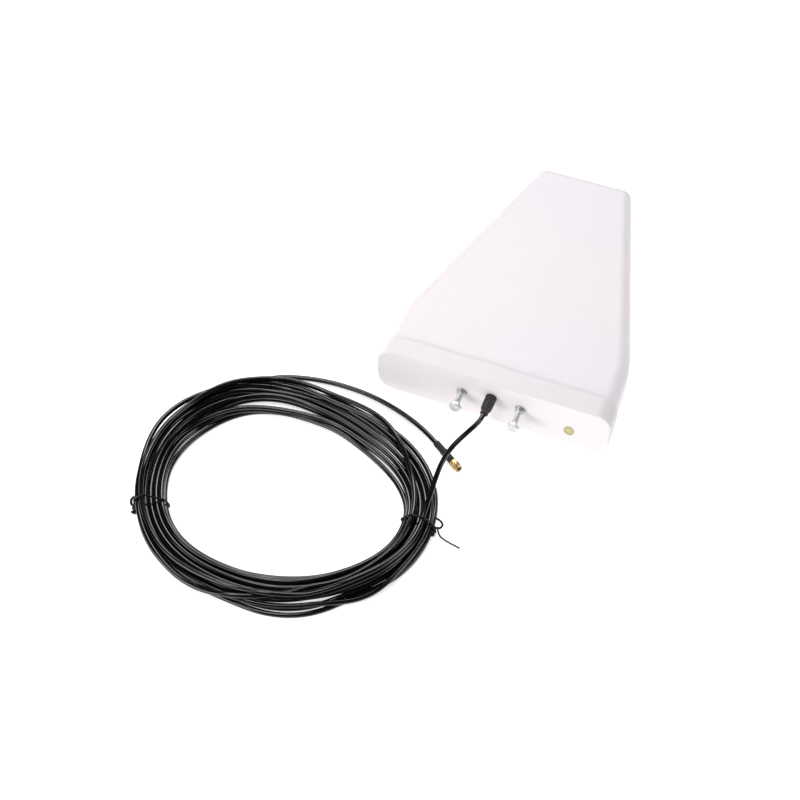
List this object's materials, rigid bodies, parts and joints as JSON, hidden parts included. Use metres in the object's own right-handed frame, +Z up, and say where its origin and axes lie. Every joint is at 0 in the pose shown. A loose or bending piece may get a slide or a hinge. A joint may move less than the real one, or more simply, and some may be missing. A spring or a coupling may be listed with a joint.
{
  "type": "log-periodic antenna",
  "caption": "Flat white trapezoidal outdoor antenna with two mounting bolts, a strain-relief boot and a tied coil of black coaxial cable ending in a gold SMA plug.",
  "frame": {"origin": "on the surface the antenna lies on, below the middle of the antenna taken without its loose cable", "axes": "+Y from the mounting bolts and the cap towards the narrow tip, +X across the antenna to the right when looking along +Y, +Z up from the surface"},
  "size_m": [0.4199, 0.6036, 0.0565],
  "materials": {
    "cap_plastic": "moulded white ABS, satin",
    "radome_plastic": "moulded white ABS, satin",
    "gasket_rubber": "closed-cell foam rubber",
    "sticker_film": "round yellow-green film",
    "zinc_steel": "bright zinc plating",
    "boot_rubber": "dark moulded rubber, fine grain",
    "nylon": "natural nylon",
    "bare_aluminium": "mill finish",
    "feed_brass": "plain",
    "cable_jacket": "black PVC, the braid showing faintly through",
    "shrink_plastic": "dark grey heat-shrink, matte",
    "gold_plating": "gold plating over brass",
    "white_insulator": "PTFE",
    "tie_plastic": "black plastic-coated wire"
  },
  "bodies": {
    "antenna": {"base_cap": "cap_plastic", "boom_bracket": "bare_aluminium", "boom_lower": "bare_aluminium", "boom_screws": "zinc_steel", "boom_short_block": "bare_aluminium", "boom_spacer_front": "nylon", "boom_spacer_middle": "nylon", "boom_upper": "bare_aluminium", "boot_lock_nut": "nylon", "bracket_screws": "zinc_steel", "cap_gasket": "gasket_rubber", "cap_screws": "zinc_steel", "coax_clips": "nylon", "cord_coil": "cable_jacket", "cord_lead": "cable_jacket", "cord_tail": "cable_jacket", "element_01_lower": "bare_aluminium", "element_01_upper": "bare_aluminium", "element_02_lower": "bare_aluminium", "element_02_upper": "bare_aluminium", "element_03_lower": "bare_aluminium", "element_03_upper": "bare_aluminium", "element_04_lower": "bare_aluminium", "element_04_upper": "bare_aluminium", "element_05_lower": "bare_aluminium", "element_05_upper": "bare_aluminium", "element_06_lower": "bare_aluminium", "element_06_upper": "bare_aluminium", "element_07_lower": "bare_aluminium", "element_07_upper": "bare_aluminium", "element_08_lower": "bare_aluminium", "element_08_upper": "bare_aluminium", "element_09_lower": "bare_aluminium", "element_09_upper": "bare_aluminium", "element_10_lower": "bare_aluminium", "element_10_upper": "bare_aluminium", "feed_coax": "cable_jacket", "feed_insulator": "nylon", "feed_link": "feed_brass", "feed_screw": "zinc_steel", "flat_washers": "zinc_steel", "inspection_sticker": "sticker_film", "mount_plate": "zinc_steel", "plate_screws": "zinc_steel", "radome": "radome_plastic", "sma_body": "gold_plating", "sma_centre_pin": "gold_plating", "sma_dielectric": "white_insulator", "sma_retaining_ring": "gold_plating", "sma_shrink_tube": "shrink_plastic", "spring_washers": "zinc_steel", "strain_relief_boot": "boot_rubber", "tie_left": "tie_plastic", "tie_right": "tie_plastic", "tip_cradle": "nylon", "weld_nuts": "zinc_steel"},
    "left_bolt": {"bolt_left": "zinc_steel"},
    "right_bolt": {"bolt_right": "zinc_steel"},
    "plug_nut": {"sma_coupling_nut": "gold_plating"}
  },
  "joints": [
    {"name": "bolt_left_travel", "type": "slide", "parent": "antenna", "child": "left_bolt", "axis": [0, 1, 0], "range_m": [-0.005, 0.0147]},
    {"name": "bolt_right_travel", "type": "slide", "parent": "antenna", "child": "right_bolt", "axis": [0, 1, 0], "range_m": [-0.002, 0.0177]},
    {"name": "plug_nut_spin", "type": "hinge", "parent": "antenna", "child": "plug_nut", "pos_m": [-0.01204, -0.21265, 0.00465], "axis": [0.831, -0.5563, 0], "continuous": true}
  ]
}
